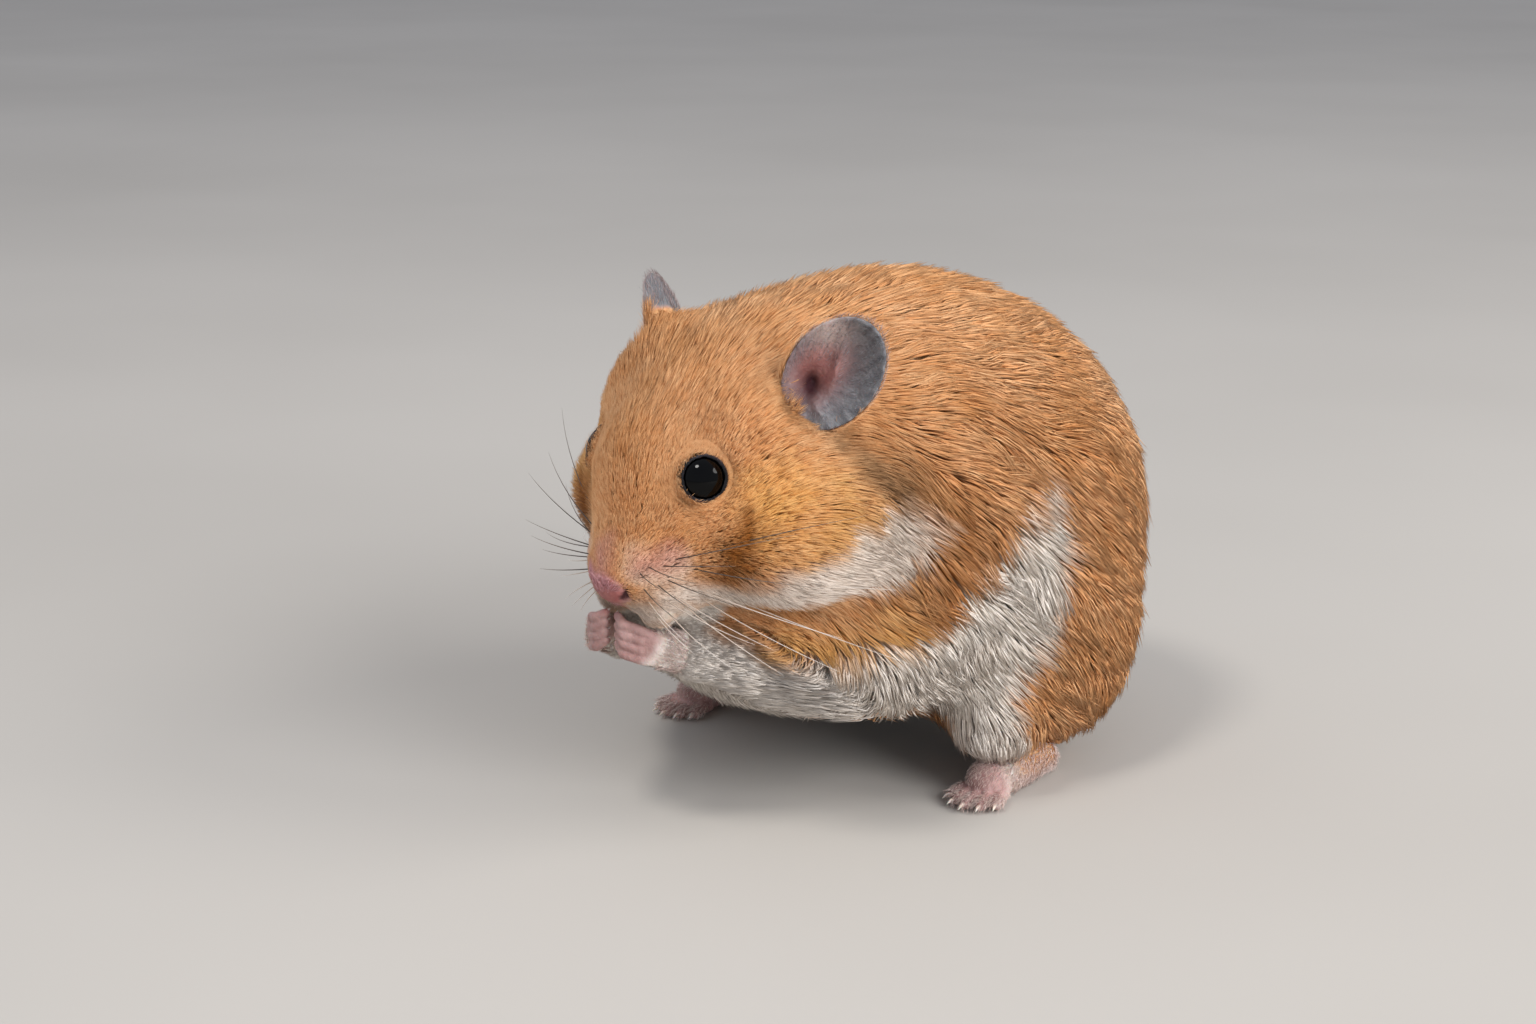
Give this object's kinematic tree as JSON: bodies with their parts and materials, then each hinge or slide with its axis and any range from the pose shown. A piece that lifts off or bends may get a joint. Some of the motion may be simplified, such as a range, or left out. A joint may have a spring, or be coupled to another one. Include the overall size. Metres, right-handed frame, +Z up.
{
  "type": "syrian hamster",
  "caption": "Life-size still model of a crouched golden hamster holding its hands to its mouth, with one named solid for each part of its body.",
  "frame": {"origin": "centre of the bounding box, on the floor", "axes": "+X to the animal's left, -Y the way it faces, +Z up"},
  "size_m": [0.0714, 0.0996, 0.0704],
  "materials": {
    "coat": "soft fur, golden orange",
    "pale_coat": "soft fur, cream white",
    "skin": "thin-haired pink skin",
    "ear": "thin grey skin, pink inside",
    "eye": "glossy black"
  },
  "bodies": {
    "root": {"head": "coat", "neck": "coat", "trunk": "coat", "thigh_left": "coat", "thigh_right": "coat", "upper_arm_left": "coat", "upper_arm_right": "coat", "lower_jaw": "pale_coat", "forearm_left": "pale_coat", "forearm_right": "pale_coat", "lower_leg_left": "pale_coat", "lower_leg_right": "pale_coat", "nose": "skin", "hand_left": "skin", "hand_right": "skin", "foot_left": "skin", "foot_right": "skin", "tail": "skin", "ear_left": "ear", "ear_right": "ear", "eye_left": "eye", "eye_right": "eye"}
  },
  "joints": []
}
